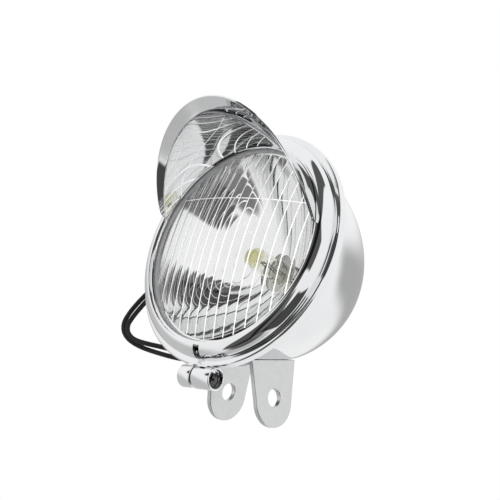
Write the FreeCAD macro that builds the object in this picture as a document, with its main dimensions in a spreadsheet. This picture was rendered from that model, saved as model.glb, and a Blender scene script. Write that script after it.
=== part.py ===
"""Motorcycle auxiliary driving light: bowl, split clamp ring, hooded visor, fluted glass and ear bracket.

The beam points along -Y and +Z is up. The origin is the middle of the pivot bolt through both ears.
Lamp places are first worked out from the centre of the ring's flange plane and then moved to the pivot.
"""
import FreeCAD
import Part
import math
import os
import Sketcher
from FreeCAD import Placement, Rotation, Vector
from types import SimpleNamespace

# Driving dimensions in millimetres and degrees, by piece.
SIZES = {
    # Clearances
    "seat_play": 0.1,
    "slide_play": 0.25,
    "wire_play": 0.1,
    "rim_play": 0.3,
    "visor_play": 0.37,
    # Split ring: half-round bead, flange and skirt
    "sheet": 1.2,
    "bead_back": 4.3,
    "bead_circle": 53.5,
    "bead_half": 4.4,
    "bead_rise": 2.0,
    "bead_turn": 40.0,
    "flange_width": 3.17,
    "skirt_depth": 2.6,
    "split_angle": 4.2,
    # Clamp barrels and screw
    "barrel_radius": 5.4,
    "barrel_drop": 5.0,
    "barrel_back": 0.3,
    "barrel_gap": 1.0,
    "barrel_right": 12.2,
    "barrel_left": 8.3,
    "barrel_neck": 6.4,
    "barrel_neck_short": 2.6,
    "screw_radius": 2.5,
    "screw_head_radius": 4.2,
    "screw_head_height": 3.0,
    "head_sink": 3.4,
    "cross_length": 4.6,
    "cross_width": 1.1,
    "cross_depth": 1.8,
    # Bowl with its bracket seat
    "rim_width": 4.5,
    "rim_thick": 1.2,
    "bowl_depth": 68.0,
    "bowl_wall": 1.2,
    "seat_back": 29.9,
    "seat_sink": 4.27,
    "seat_margin": 4.13,
    "shoulder_across": 30.0,
    # Ear bracket
    "strap": 2.5,
    "strap_width": 29.5,
    "web_half": 14.5,
    "ear_height": 17.8,
    "ear_rake": 20.0,
    "ear_splay": 5.5,
    "ear_round": 12.0,
    "ear_round_drop": 2.0,
    "bolt_hole": 8.6,
    "rivet_radius": 2.4,
    "rivet_head_radius": 4.0,
    "rivet_head_height": 1.6,
    "rivet_apart": 14.0,
    # Visor
    "visor_wall": 0.8,
    "visor_step": 0.15,
    "visor_flare": 3.9,
    "visor_reach": 33.7,
    "visor_end_reach": 0.1,
    "visor_end_angle": 13.0,
    "visor_waist": 0.4,
    "visor_lip": 7.0,
    "visor_lip_end": 0.3,
    "visor_lip_turn": 18.0,
    # Lens and gasket
    "lens_inset": 2.3,
    "lens_rim": 2.6,
    "lens_glass": 2.4,
    "lens_rise": 7.0,
    "flute_count": 16.0,
    "flute_round": 18.0,
    "flute_angle": 40.0,
    "gasket_thick": 1.2,
    "gasket_width": 3.0,
    # Reflector
    "mouth_step": 1.0,
    "reflector_depth": 33.0,
    "reflector_flange": 1.2,
    "bulb_hole": 9.6,
    # Unit clips
    "clip_width": 9.0,
    "clip_wire": 1.0,
    "clip_count": 4.0,
    # Bulb
    "envelope_radius": 5.2,
    "envelope_length": 24.0,
    "base_radius": 11.2,
    "base_thick": 1.6,
    "collar_radius": 7.0,
    "collar_length": 5.0,
    "filament_radius": 0.7,
    "filament_length": 5.0,
    "lead_radius": 0.35,
    "lead_apart": 3.6,
    "bulb_clip_wire": 1.3,
    "bulb_clip_reach": 15.0,
    "connector_width": 9.0,
    "connector_length": 12.0,
    # Cable exit
    "exit_back": 25.0,
    "exit_angle": 182.0,
    "grommet_radius": 6.6,
    "grommet_neck": 4.9,
    "grommet_lip": 2.0,
    "wire_radius": 1.2,
    "wire_apart": 2.8,
    "wire_lead_out": 11.5,
}

# Routes of the two wires after the bush, from the lamp centre, as shares of the skirt's radius.
WIRE_ROUTES = {
    "wire_live": [(-1.242, 0.415, -0.116), (-1.281, 0.286, -0.553), (-1.208, 0.235, -0.674),
                  (-1.052, 0.210, -0.760), (-0.745, 0.202, -0.830), (-0.513, 0.311, -0.876),
                  (-0.479, 0.521, -0.782), (-0.504, 0.714, -0.639), (-0.555, 0.840, -0.496)],
    "wire_earth": [(-1.193, 0.429, -0.160), (-1.225, 0.299, -0.555), (-1.168, 0.257, -0.645),
                   (-1.042, 0.232, -0.708), (-0.864, 0.232, -0.740), (-0.731, 0.244, -0.812),
                   (-0.571, 0.361, -0.809), (-0.546, 0.546, -0.723), (-0.571, 0.714, -0.588),
                   (-0.630, 0.832, -0.454)],
}

doc = FreeCAD.newDocument("DrivingLight")
sheet = doc.addObject("Spreadsheet::Sheet", "Sizes")
for row, (alias, number) in enumerate(SIZES.items(), start=1):
    sheet.set(f"A{row}", alias)
    sheet.set(f"B{row}", str(number))
    sheet.setAlias(f"B{row}", alias)
doc.recompute()


class Size:
    """A length or angle with its number and the sheet expression that gives it."""

    def __init__(self, value, text):
        self.value = value
        self.text = text

    def __add__(self, other):
        other = as_size(other)
        return Size(self.value + other.value, f"({self.text} + {other.text})")

    def __sub__(self, other):
        other = as_size(other)
        return Size(self.value - other.value, f"({self.text} - {other.text})")

    def __mul__(self, other):
        other = as_size(other)
        return Size(self.value * other.value, f"({self.text} * {other.text})")

    def __truediv__(self, other):
        other = as_size(other)
        return Size(self.value / other.value, f"({self.text} / {other.text})")

    def __neg__(self):
        return Size(-self.value, f"(-{self.text})")


def as_size(item):
    """A plain number taken as a size."""
    return item if isinstance(item, Size) else Size(float(item), str(float(item)))


def cosine(angle):
    return Size(math.cos(math.radians(angle.value)), f"cos({angle.text} * 1 deg)")


def sine(angle):
    return Size(math.sin(math.radians(angle.value)), f"sin({angle.text} * 1 deg)")


def root(size):
    return Size(math.sqrt(size.value), f"sqrt({size.text})")


s = SimpleNamespace(**{alias: Size(float(sheet.get(alias)), f"Sizes.{alias}") for alias in SIZES})
ZERO = as_size(0)
pieces = []

# Sizes that follow from the driving ones: ring, bowl, bracket pivot and lamp unit.
s.crease_radius = s.bead_circle + s.bead_half * sine(s.bead_turn)
s.lip_radius = s.bead_circle - s.bead_half * sine(s.bead_turn)
s.skirt_radius = s.crease_radius + s.flange_width
s.rim_radius = s.skirt_radius - s.sheet - s.rim_play
s.bowl_radius = s.rim_radius - s.rim_width
s.seat_share = s.seat_back / s.bowl_depth
s.seat_drop = s.bowl_radius * root(as_size(1) - s.seat_share * s.seat_share) - s.seat_sink
s.seat_half = s.web_half + s.seat_margin
s.pivot_back = s.seat_back + s.ear_height * sine(s.ear_rake)
s.pivot_drop = s.seat_drop + s.ear_height * cosine(s.ear_rake)
s.visor_root = s.lip_radius - s.visor_play - s.visor_wall - s.visor_step
s.lens_radius = s.bead_circle - s.lens_inset
s.reflector_mouth = s.lens_radius - s.gasket_width - s.mouth_step
n = SimpleNamespace(**{alias: size.value for alias, size in vars(s).items()})


def lamp_body(label):
    """A body whose own origin is the centre of the ring's flange plane."""
    body = doc.addObject("PartDesign::Body", label)
    body.Label = label
    body.setExpression("Placement.Base.y", (-s.pivot_back).text)
    body.setExpression("Placement.Base.z", s.pivot_drop.text)
    pieces.append(body)
    return body


def lamp_solid(label, shape):
    """A piece made of plain shapes, in the same place as a lamp body."""
    piece = doc.addObject("Part::Feature", label)
    piece.Label = label
    piece.Shape = shape
    piece.Placement = Placement(Vector(0, -n.pivot_back, n.pivot_drop), Rotation())
    pieces.append(piece)
    return piece


def new_sketch(body, plane, name):
    sketch = body.newObject("Sketcher::SketchObject", name)
    origin_plane = [item for item in body.Origin.OriginFeatures if item.Role == plane]
    sketch.AttachmentSupport = (origin_plane[0], [""])
    sketch.MapMode = "FlatFace"
    return sketch


def bind(sketch, kind, elements, size, name):
    """One dimension of a sketch, bound to the sheet."""
    index = sketch.addConstraint(Sketcher.Constraint(kind, *elements, size.value))
    sketch.renameConstraint(index, name)
    sketch.setExpression(f"Constraints.{name}", size.text)


def arc_middle(start, end, radius, side):
    """Middle of the shorter arc from start to end; side +1 bulges to the left of the way."""
    half = (end - start) * 0.5
    rise = radius - math.sqrt(max(radius * radius - half.Length ** 2, 0.0))
    left = Vector(-half.y, half.x, 0).normalize()
    return start + half + left * (rise * side)


def outline(sketch, corners):
    """A closed outline. A corner is (u, v), or (u, v, radius, side) where an arc leads on from it."""
    first = sketch.GeometryCount
    spots = [Vector(as_size(c[0]).value, as_size(c[1]).value, 0) for c in corners]
    starts = []
    ends = []
    for index, corner in enumerate(corners):
        here = spots[index]
        there = spots[(index + 1) % len(corners)]
        if len(corner) == 4:
            middle = arc_middle(here, there, corner[2].value, corner[3])
            edge = sketch.addGeometry(Part.Arc(here, middle, there))
        else:
            edge = sketch.addGeometry(Part.LineSegment(here, there))
        forward = (sketch.getPoint(edge, 1) - here).Length < (sketch.getPoint(edge, 2) - here).Length
        starts.append((edge, 1 if forward else 2))
        ends.append((edge, 2 if forward else 1))
    for index, corner in enumerate(corners):
        follower = (index + 1) % len(corners)
        sketch.addConstraint(Sketcher.Constraint("Coincident", *ends[index], *starts[follower]))
        mark = first + index
        bind(sketch, "DistanceX", (-1, 1, *starts[index]), as_size(corner[0]), f"u{mark}")
        bind(sketch, "DistanceY", (-1, 1, *starts[index]), as_size(corner[1]), f"v{mark}")
        if len(corner) == 4:
            bind(sketch, "Radius", (starts[index][0],), corner[2], f"r{mark}")


def circle(sketch, u, v, radius):
    """A round outline at (u, v)."""
    u = as_size(u)
    v = as_size(v)
    mark = sketch.GeometryCount
    edge = sketch.addGeometry(Part.Circle(Vector(u.value, v.value, 0), Vector(0, 0, 1), radius.value))
    bind(sketch, "Radius", (edge,), radius, f"r{mark}")
    bind(sketch, "DistanceX", (-1, 1, edge, 3), u, f"u{mark}")
    bind(sketch, "DistanceY", (-1, 1, edge, 3), v, f"v{mark}")


def turned(body, corners, name, angle=None, axis="H_Axis"):
    """A revolution of (y, radius) corners about the lamp axis, open at the bottom where angle is given."""
    sketch = new_sketch(body, "YZ_Plane", f"{name}_profile")
    outline(sketch, corners)
    turn = body.newObject("PartDesign::Revolution", name)
    turn.Profile = sketch
    turn.ReferenceAxis = (sketch, [axis])
    turn.Angle = 360
    if angle is not None:
        turn.Midplane = True
        turn.setExpression("Angle", angle.text)
    return turn


def extruded(body, kind, sketch, name, length=None, symmetric=False, flip=False):
    """A pad or pocket, through everything where it has no length."""
    feature = body.newObject(f"PartDesign::{kind}", name)
    feature.Profile = sketch
    feature.SideType = "Symmetric" if symmetric else "One side"
    feature.Reversed = flip
    if length is None:
        feature.Type = "ThroughAll"
    else:
        feature.setExpression("Length", length.text)
    return feature


# Stack of the lamp unit behind the ring's lip, from front to back.
lip_front = -s.bead_back - s.bead_half * cosine(s.bead_turn)
lip_back = -s.bead_back - (s.bead_half - s.sheet) * cosine(s.bead_turn)
visor_back = lip_back + s.visor_wall
lens_front = visor_back
lens_back = lens_front + s.lens_rim
gasket_back = lens_back + s.gasket_thick
flange_back = gasket_back + s.reflector_flange
reflector_back = gasket_back + s.reflector_depth
crease = s.bead_half * cosine(s.bead_turn) - s.bead_back
flange_rear = crease + s.sheet
skirt_end = crease + s.skirt_depth + s.sheet


def dome_radius(mouth, rise):
    """Radius of a round cap with this mouth and rise."""
    return (mouth * mouth + rise * rise) / (rise * 2)


def make_trim_ring():
    """Bezel: quarter-round bead over the glass, a crease, a flat flange and a skirt round the bowl's rim."""
    body = lamp_body("trim_ring")
    inner = s.bead_half - s.sheet
    along = cosine(s.bead_turn)
    across = sine(s.bead_turn)
    back = -s.bead_back
    turned(body, [
        (lip_front, s.lip_radius, dome_radius(s.bead_half, s.bead_rise), 1),
        (crease, s.crease_radius),
        (crease, s.skirt_radius),
        (skirt_end, s.skirt_radius),
        (skirt_end, s.skirt_radius - s.sheet),
        (flange_rear, s.skirt_radius - s.sheet),
        (flange_rear, s.bead_circle + inner * across),
        (back + inner * along, s.bead_circle + inner * across, dome_radius(inner, s.bead_rise - s.sheet), -1),
        (back - inner * along, s.bead_circle - inner * across),
    ], "bezel", as_size(360) - s.split_angle)


def clamp_lug(label, near, far, hole, sign):
    """A barrel under the skirt, from near to far along X, with a neck that meets the skirt."""
    body = lamp_body(label)
    height = -(s.skirt_radius + s.barrel_drop)
    barrel = new_sketch(body, "YZ_Plane", "barrel_round")
    circle(barrel, s.barrel_back * -1, height, s.barrel_radius)
    extruded(body, "Pad", barrel, "barrel", far, flip=sign < 0)
    neck = new_sketch(body, "YZ_Plane", "neck_side")
    half = s.barrel_neck / 2
    neck_top = s.sheet - s.skirt_radius
    outline(neck, [(-s.barrel_back - half, height), (half - s.barrel_back, height),
                   (half - s.barrel_back, neck_top), (-s.barrel_back - half, neck_top)])
    extruded(body, "Pad", neck, "neck", far - s.barrel_neck_short, flip=sign < 0)
    doc.recompute()
    gap = new_sketch(body, "YZ_Plane", "gap_side")
    edge = s.barrel_radius * 2
    outline(gap, [(-edge, height - edge), (edge, height - edge), (edge, ZERO), (-edge, ZERO)])
    extruded(body, "Pocket", gap, "half_gap", near, flip=sign > 0)
    bore = new_sketch(body, "YZ_Plane", "bore_round")
    circle(bore, s.barrel_back * -1, height, hole)
    extruded(body, "Pocket", bore, "bore", None, flip=sign > 0)
    skirt = new_sketch(body, "XZ_Plane", "skirt_round")
    circle(skirt, 0, 0, s.skirt_radius)
    extruded(body, "Pocket", skirt, "skirt_seat", None, symmetric=True)
    return body


def make_clamp():
    """Two barrels on the ring's ends and the screw that draws them together."""
    height = -(s.skirt_radius + s.barrel_drop)
    near = s.barrel_gap / 2
    right = clamp_lug("clamp_lug_right", near, s.barrel_right, s.screw_radius + s.slide_play, 1)
    sink = new_sketch(right, "YZ_Plane", "counterbore_round")
    circle(sink, -s.barrel_back, height, s.screw_head_radius + s.slide_play)
    sink.AttachmentOffset = Placement(Vector(0, 0, n.barrel_right), Rotation())
    sink.setExpression("AttachmentOffset.Base.z", s.barrel_right.text)
    extruded(right, "Pocket", sink, "counterbore", s.screw_head_height + s.head_sink)
    clamp_lug("clamp_lug_left", near, s.barrel_left, s.screw_radius + s.wire_play, -1)
    screw = lamp_body("clamp_screw")
    seat = s.barrel_right - s.head_sink - s.screw_head_height
    shank = new_sketch(screw, "YZ_Plane", "shank_round")
    circle(shank, -s.barrel_back, height, s.screw_radius)
    shank.setExpression("AttachmentOffset.Base.z", (-s.barrel_left).text)
    extruded(screw, "Pad", shank, "shank", seat + s.barrel_left)
    head = new_sketch(screw, "YZ_Plane", "head_round")
    circle(head, -s.barrel_back, height, s.screw_head_radius)
    head.setExpression("AttachmentOffset.Base.z", seat.text)
    extruded(screw, "Pad", head, "head", s.screw_head_height)
    doc.recompute()
    for name, long_u, long_v in (("slot_level", s.cross_length, s.cross_width),
                                 ("slot_upright", s.cross_width, s.cross_length)):
        slot = new_sketch(screw, "YZ_Plane", f"{name}_outline")
        left = -s.barrel_back - long_u / 2
        right_side = long_u / 2 - s.barrel_back
        outline(slot, [(left, height - long_v / 2), (right_side, height - long_v / 2),
                       (right_side, height + long_v / 2), (left, height + long_v / 2)])
        slot.setExpression("AttachmentOffset.Base.z", (seat + s.screw_head_height).text)
        extruded(screw, "Pocket", slot, name, s.cross_depth)


def bowl_radius(back, inset):
    """Radius of the bowl's half ellipse at a distance behind the flange plane, drawn in by an inset."""
    share = back / (n.bowl_depth - inset)
    return (n.bowl_radius - inset) * math.sqrt(1.0 - share * share)


def bowl_normal(back):
    """Outward lean of the bowl's skin: its share along the radius and its share along Y."""
    step = 0.01
    slope = (bowl_radius(back + step, 0) - bowl_radius(back - step, 0)) / (2 * step)
    length = math.hypot(1.0, slope)
    return 1.0 / length, -slope / length


def bowl_block(inset):
    """The closed bowl, drawn in by an inset, with its flat seat and two sloped shoulders."""
    rear = Vector(0, n.bowl_depth - inset, 0)
    top = Vector(0, 0, n.bowl_radius - inset)
    skin = Part.Ellipse(rear, top, Vector()).toShape(0, math.pi / 2)
    outline_edges = [skin, Part.makeLine(top, Vector()), Part.makeLine(Vector(), rear)]
    face = Part.Face(Part.Wire(Part.__sortEdges__(outline_edges)))
    block = face.revolve(Vector(), Vector(0, 1, 0), 360)
    for normal, reach in seat_planes():
        block = block.cut(half_space(normal, reach - inset))
    return block


def seat_planes():
    """Outward normals and distances of the bracket seat and of the shoulders beside it."""
    rake = math.radians(n.ear_rake)
    across = math.radians(n.shoulder_across)
    down = Vector(0, math.sin(rake), -math.cos(rake))
    seat_reach = down.dot(Vector(0, n.seat_back, -n.seat_drop))
    shoulder_reach = seat_reach * math.cos(across) + n.seat_half * math.sin(across)
    planes = [(down, seat_reach)]
    for side in (-1, 1):
        lean = Rotation(Vector(0, math.cos(rake), math.sin(rake)), -side * n.shoulder_across)
        planes.append((lean.multVec(down), shoulder_reach))
    return planes


def half_space(normal, reach):
    """A block that starts at a plane and lies outside it."""
    size = 4 * n.bowl_radius
    block = Part.makeBox(size, size, size, Vector(-size / 2, -size / 2, 0))
    block.Placement = Placement(normal * reach, Rotation(Vector(0, 0, 1), normal))
    return block


def exit_place():
    """Middle of the cable hole on the bowl's skin, and its outward direction."""
    angle = math.radians(n.exit_angle)
    radial = Vector(math.cos(angle), 0, math.sin(angle))
    out, back = bowl_normal(n.exit_back)
    spot = radial * bowl_radius(n.exit_back, 0) + Vector(0, n.exit_back, 0)
    return spot, radial * out + Vector(0, back, 0)


def rivet_places():
    """Rivet centres on the bracket seat, with the direction out of the bowl."""
    down, reach = seat_planes()[0]
    along = Vector(0, -down.z, down.y)
    middle = Vector(0, n.seat_back, -n.seat_drop)
    return [(middle + along * (side * n.rivet_apart / 2), down) for side in (-1, 1)]


def bucket_shell():
    """Pressed bowl with a rim flange, a flat seat for the bracket and a hole for the wires."""
    rim_front = flange_rear.value + n.seat_play
    shell = bowl_block(0).cut(bowl_block(n.bowl_wall))
    shell = shell.cut(Part.makeCylinder(n.rim_radius, rim_front, Vector(), Vector(0, 1, 0)))
    rim = Part.makeCylinder(n.rim_radius, n.rim_thick, Vector(0, rim_front, 0), Vector(0, 1, 0))
    mouth = bowl_radius(rim_front, n.bowl_wall)
    rim = rim.cut(Part.makeCylinder(mouth, n.rim_thick, Vector(0, rim_front, 0), Vector(0, 1, 0)))
    shell = shell.fuse(rim).removeSplitter()
    spot, out = exit_place()
    shell = shell.cut(Part.makeCylinder(n.grommet_neck, 6 * n.bowl_wall, spot - out * 4 * n.bowl_wall, out))
    for place, down in rivet_places():
        hole = n.rivet_radius + n.wire_play
        shell = shell.cut(Part.makeCylinder(hole, 4 * n.bowl_wall, place - down * 2 * n.bowl_wall, down))
    return shell


def strap_body(label):
    """A body on the pivot bolt that leans back with the ears."""
    body = doc.addObject("PartDesign::Body", label)
    body.Label = label
    body.Placement = Placement(Vector(), Rotation(Vector(1, 0, 0), n.ear_rake))
    body.setExpression("Placement.Rotation.Angle", s.ear_rake.text)
    pieces.append(body)
    return body


def make_mounting_bracket():
    """A strap bent to a U: a web under the bowl and two splayed, tapered ears that meet it at the bends."""
    drop = s.ear_round + s.ear_round_drop
    spread = sine(s.ear_splay) / cosine(s.ear_splay)
    thick = s.strap / cosine(s.ear_splay)
    foot = s.web_half + spread * (s.ear_height + drop)
    crook = s.web_half + spread * s.strap - thick
    under_web = s.ear_height - s.strap
    web = strap_body("bracket_web")
    web_end = new_sketch(web, "XZ_Plane", "web_end")
    outline(web_end, [(-s.web_half, s.ear_height), (-crook, under_web),
                      (crook, under_web), (s.web_half, s.ear_height)])
    extruded(web, "Pad", web_end, "web_plate", s.strap_width, symmetric=True)
    doc.recompute()
    rivet = new_sketch(web, "XY_Plane", "rivet_rounds")
    for way in (-1, 1):
        circle(rivet, 0, s.rivet_apart * (way / 2), s.rivet_radius + s.wire_play)
    rivet.setExpression("AttachmentOffset.Base.z", s.ear_height.text)
    extruded(web, "Pocket", rivet, "rivet_holes", s.strap * 2)
    half = s.strap_width / 2
    edge = s.strap_width
    for label, way in (("bracket_ear_right", 1), ("bracket_ear_left", -1)):
        ear = strap_body(label)
        ear_end = new_sketch(ear, "XZ_Plane", "ear_end")
        outline(ear_end, [(s.web_half * way, s.ear_height), (crook * way, under_web),
                          ((foot - thick) * way, -drop), (foot * way, -drop)])
        extruded(ear, "Pad", ear_end, "ear_plate", s.strap_width, symmetric=True)
        doc.recompute()
        side = new_sketch(ear, "YZ_Plane", "ear_side")
        outline(side, [(-edge, -edge), (edge, -edge), (edge, s.ear_height), (half, s.ear_height),
                       (s.ear_round, -s.ear_round_drop, s.ear_round, 1), (ZERO, -drop, s.ear_round, 1),
                       (-s.ear_round, -s.ear_round_drop), (-half, s.ear_height), (-edge, s.ear_height)])
        extruded(ear, "Pocket", side, "ear_outline", None, symmetric=True)
        bolt = new_sketch(ear, "YZ_Plane", "bolt_round")
        circle(bolt, 0, 0, s.bolt_hole / 2)
        extruded(ear, "Pocket", bolt, "bolt_hole", None, symmetric=True)


def make_bracket_rivets():
    """Two rivets through web and bowl, each with a low round head on both sides."""
    rivets = []
    for place, down in rivet_places():
        inside = place - down * n.bowl_wall
        outside = place + down * n.strap
        shank = Part.makeCylinder(n.rivet_radius, n.bowl_wall + n.strap, inside, down)
        heads = [Part.makeCone(n.rivet_head_radius, n.rivet_radius, n.rivet_head_height, outside, down),
                 Part.makeCone(n.rivet_head_radius, n.rivet_radius, n.rivet_head_height, inside, -down)]
        rivets.append(shank.multiFuse(heads).removeSplitter())
    lamp_solid("bracket_rivets", Part.makeCompound(rivets))


def visor_share(angle):
    """How far up the slanted front edge an angle lies: 0 at the ends of the hood, 1 at its top."""
    low = math.sin(math.radians(n.visor_end_angle))
    return (math.sin(angle) - low) / (1.0 - low)


def visor_section(angle):
    """Cross section of the hood at an angle round the beam: a flaring wall and a lip that turns out."""
    radial = Vector(math.cos(angle), 0, math.sin(angle))
    share = visor_share(angle)
    root_y = lip_back.value + n.visor_wall / 2
    root = n.visor_root + n.visor_step
    edge_y = lip_front.value - n.visor_end_reach - (n.visor_reach - n.visor_end_reach) * share
    edge = root + n.visor_flare * share
    waist_y = (edge_y + root_y) / 2
    waist = root + n.visor_flare * share * n.visor_waist
    lip = n.visor_lip * (n.visor_lip_end + (1.0 - n.visor_lip_end) * math.sqrt(max(share, 0.0)))
    turn = math.radians(n.visor_lip_turn)
    lip_y = edge_y - lip * math.cos(turn)
    lip_r = edge + lip * math.sin(turn)
    wall = n.visor_wall
    spots = [(root_y, root), (waist_y, waist), (edge_y, edge), (lip_y, lip_r), (lip_y, lip_r + wall),
             (edge_y, edge + wall), (waist_y, waist + wall), (root_y, root + wall)]
    corners = [radial * radius + Vector(0, y, 0) for y, radius in spots]
    return Part.makePolygon(corners + corners[:1])


def make_visor():
    """Hood with a flared lip on a flat flange that is trapped between ring and glass."""
    section_count = 15
    start = math.radians(n.visor_end_angle)
    pitch = (math.pi - 2 * start) / (section_count - 1)
    hood = Part.makeLoft([visor_section(start + pitch * k) for k in range(section_count)], True, False)
    flange = Part.makeCylinder(n.lens_radius, n.visor_wall, Vector(0, lip_back.value, 0), Vector(0, 1, 0))
    opening = Part.makeCylinder(n.visor_root, n.visor_wall, Vector(0, lip_back.value, 0), Vector(0, 1, 0))
    flange = flange.cut(opening)
    lamp_solid("visor", hood.fuse(flange))


def make_lens():
    """Convex glass with a flat rim and upright flutes that follow the dome on its inner side."""
    body = lamp_body("lens")
    mouth = s.visor_root - s.slide_play
    inner_mouth = mouth - s.lens_glass
    inner_dome = dome_radius(inner_mouth, s.lens_rise + s.lens_rim - s.lens_glass)
    inner_crown = lens_front - s.lens_rise + s.lens_glass
    turned(body, [
        (lens_front - s.lens_rise, ZERO, dome_radius(mouth, s.lens_rise), 1),
        (lens_front, mouth),
        (lens_front, s.lens_radius),
        (lens_back, s.lens_radius),
        (lens_back, inner_mouth, inner_dome, -1),
        (inner_crown, ZERO),
    ], "glass")
    doc.recompute()
    dome_centre = inner_crown + inner_dome
    flute_count = round(n.flute_count)
    pitch = inner_mouth * 2 / s.flute_count
    comb = new_sketch(body, "XY_Plane", "flute_comb")
    comb.setExpression("AttachmentOffset.Base.y", dome_centre.text)
    ridges = [pitch * (index - flute_count / 2) for index in range(flute_count + 1)]
    ridges = [(ridge, -root(inner_dome * inner_dome - ridge * ridge)) for ridge in ridges]
    behind = gasket_back - dome_centre
    outline(comb, [(*ridge, s.flute_round, -1) for ridge in ridges[:-1]]
            + [ridges[-1], (inner_mouth, behind), (-inner_mouth, behind)])
    flutes = body.newObject("PartDesign::Groove", "flutes")
    flutes.Profile = comb
    flutes.ReferenceAxis = (comb, ["H_Axis"])
    flutes.Midplane = True
    flutes.setExpression("Angle", s.flute_angle.text)


def make_lens_gasket():
    body = lamp_body("lens_gasket")
    inside = s.lens_radius - s.gasket_width
    turned(body, [(lens_back, inside), (lens_back, s.lens_radius),
                  (gasket_back, s.lens_radius), (gasket_back, inside)], "gasket")


def make_reflector():
    """Parabolic dish with a flat front flange and a bulb hole at the back."""
    step_count = 10
    start = n.bulb_hole
    mouth = n.reflector_mouth
    front = gasket_back.value
    deep = n.reflector_depth / (mouth ** 2 - start ** 2)
    inner = []
    for step in range(step_count + 1):
        radius = mouth + (start - mouth) * step / step_count
        inner.append(Vector(0, front + deep * (mouth ** 2 - radius ** 2), radius))
    dish = Part.BSplineCurve()
    dish.interpolate(inner)
    outer = dish.copy()
    outer.translate(Vector(0, n.reflector_flange, 0))
    hub_inner = inner[-1]
    hub_outer = hub_inner + Vector(0, n.reflector_flange, 0)
    rim = n.lens_radius
    front_rim = Vector(0, front, rim)
    back_rim = Vector(0, front + n.reflector_flange, rim)
    back_mouth = inner[0] + Vector(0, n.reflector_flange, 0)
    edges = [dish.toShape(), Part.makeLine(hub_inner, hub_outer), outer.toShape(),
             Part.makeLine(back_mouth, back_rim), Part.makeLine(back_rim, front_rim),
             Part.makeLine(front_rim, inner[0])]
    face = Part.Face(Part.Wire(Part.__sortEdges__(edges)))
    lamp_solid("reflector", face.revolve(Vector(), Vector(0, 1, 0), 360))


def make_unit_clips():
    """Spring clips that press the reflector's flange against the ring's bead."""
    clip = lamp_body("unit_clips")
    inside = s.bead_circle + (s.bead_half - s.sheet) * sine(s.bead_turn)
    half_clip = s.clip_width / 2
    corner_rise = half_clip * half_clip / (inside * 2)
    reach = inside - corner_rise - s.seat_play
    strip = new_sketch(clip, "YZ_Plane", "clip_bend")
    foot = s.lens_radius - s.gasket_width
    outline(strip, [(flange_back, foot), (flange_back + s.clip_wire, foot),
                    (flange_back + s.clip_wire, reach), (flange_back, reach)])
    first = extruded(clip, "Pad", strip, "clip_strip", s.clip_width, symmetric=True)
    doc.recompute()
    ring = clip.newObject("PartDesign::PolarPattern", "clip_ring")
    ring.Originals = [first]
    ring.Axis = (strip, ["H_Axis"])
    ring.Angle = 360
    ring.setExpression("Occurrences", s.clip_count.text)
    clip.Tip = ring


def make_bulb():
    """Bulb with a flange, a collar, a glass envelope and a cross coil on two leads."""
    seat = reflector_back + s.reflector_flange
    base = lamp_body("bulb_base")
    base_back = seat + s.base_thick
    collar_back = base_back + s.collar_length
    turned(base, [(seat, ZERO), (seat, s.base_radius), (base_back, s.base_radius),
                  (base_back, s.collar_radius), (collar_back, s.collar_radius), (collar_back, ZERO)],
           "flange_and_collar")
    glass = lamp_body("bulb_envelope")
    tip = seat - s.envelope_length
    wall = s.lead_radius * 2
    inside = s.envelope_radius - wall
    shoulder = tip + s.envelope_radius
    turned(glass, [(tip, ZERO, s.envelope_radius, 1), (shoulder, s.envelope_radius),
                   (seat, s.envelope_radius), (seat, inside),
                   (shoulder, inside, inside, -1), (tip + wall, ZERO)], "envelope")
    coil_y = seat.value - n.envelope_length + n.envelope_radius + n.filament_length
    half = n.lead_apart / 2
    coil = Part.makeCylinder(n.filament_radius, n.lead_apart, Vector(-half, coil_y, 0), Vector(1, 0, 0))
    lead_length = seat.value - coil_y
    leads = [Part.makeCylinder(n.lead_radius, lead_length, Vector(side * half, coil_y, 0), Vector(0, 1, 0))
             for side in (-1, 1)]
    lamp_solid("bulb_filament", coil.multiFuse(leads).removeSplitter())
    make_bulb_clip(base_back)
    connector = lamp_body("bulb_connector")
    plug = new_sketch(connector, "XZ_Plane", "plug_outline")
    half_plug = s.connector_width / 2
    outline(plug, [(-half_plug, -half_plug), (half_plug, -half_plug),
                   (half_plug, half_plug), (-half_plug, half_plug)])
    plug.setExpression("AttachmentOffset.Base.z", (-collar_back).text)
    extruded(connector, "Pad", plug, "plug", s.connector_length, flip=True)


def make_bulb_clip(seat):
    """Wire spring that crosses the bulb's flange on both sides of the collar."""
    clip = lamp_body("bulb_clip")
    wire = s.bulb_clip_wire / 2
    beside = s.collar_radius + wire + s.slide_play
    for name, side in (("upper", 1), ("lower", -1)):
        rod = new_sketch(clip, "YZ_Plane", f"{name}_rod_round")
        circle(rod, seat + wire, beside * side, wire)
        extruded(clip, "Pad", rod, f"{name}_rod", s.bulb_clip_reach * 2, symmetric=True)
    bow = new_sketch(clip, "XY_Plane", "bow_round")
    circle(bow, s.bulb_clip_reach, seat + wire, wire)
    extruded(clip, "Pad", bow, "bow", beside * 2, symmetric=True)


def make_cable_grommet(shell):
    """Rubber bush that grips the bowl's wall."""
    spot, out = exit_place()
    middle = spot - out * (n.bowl_wall / 2)
    lip = n.grommet_lip
    groove = n.bowl_wall / 2 + n.seat_play
    inner_end = middle - out * (groove + lip)
    bush = Part.makeCylinder(n.grommet_neck - n.wire_play, 2 * (groove + lip), inner_end, out)
    flanges = [Part.makeCylinder(n.grommet_radius, lip, middle + out * groove, out),
               Part.makeCylinder(n.grommet_radius, lip, inner_end, out)]
    bush = bush.multiFuse(flanges).removeSplitter()
    lamp_solid("cable_grommet", bush.cut(shell))


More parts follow.
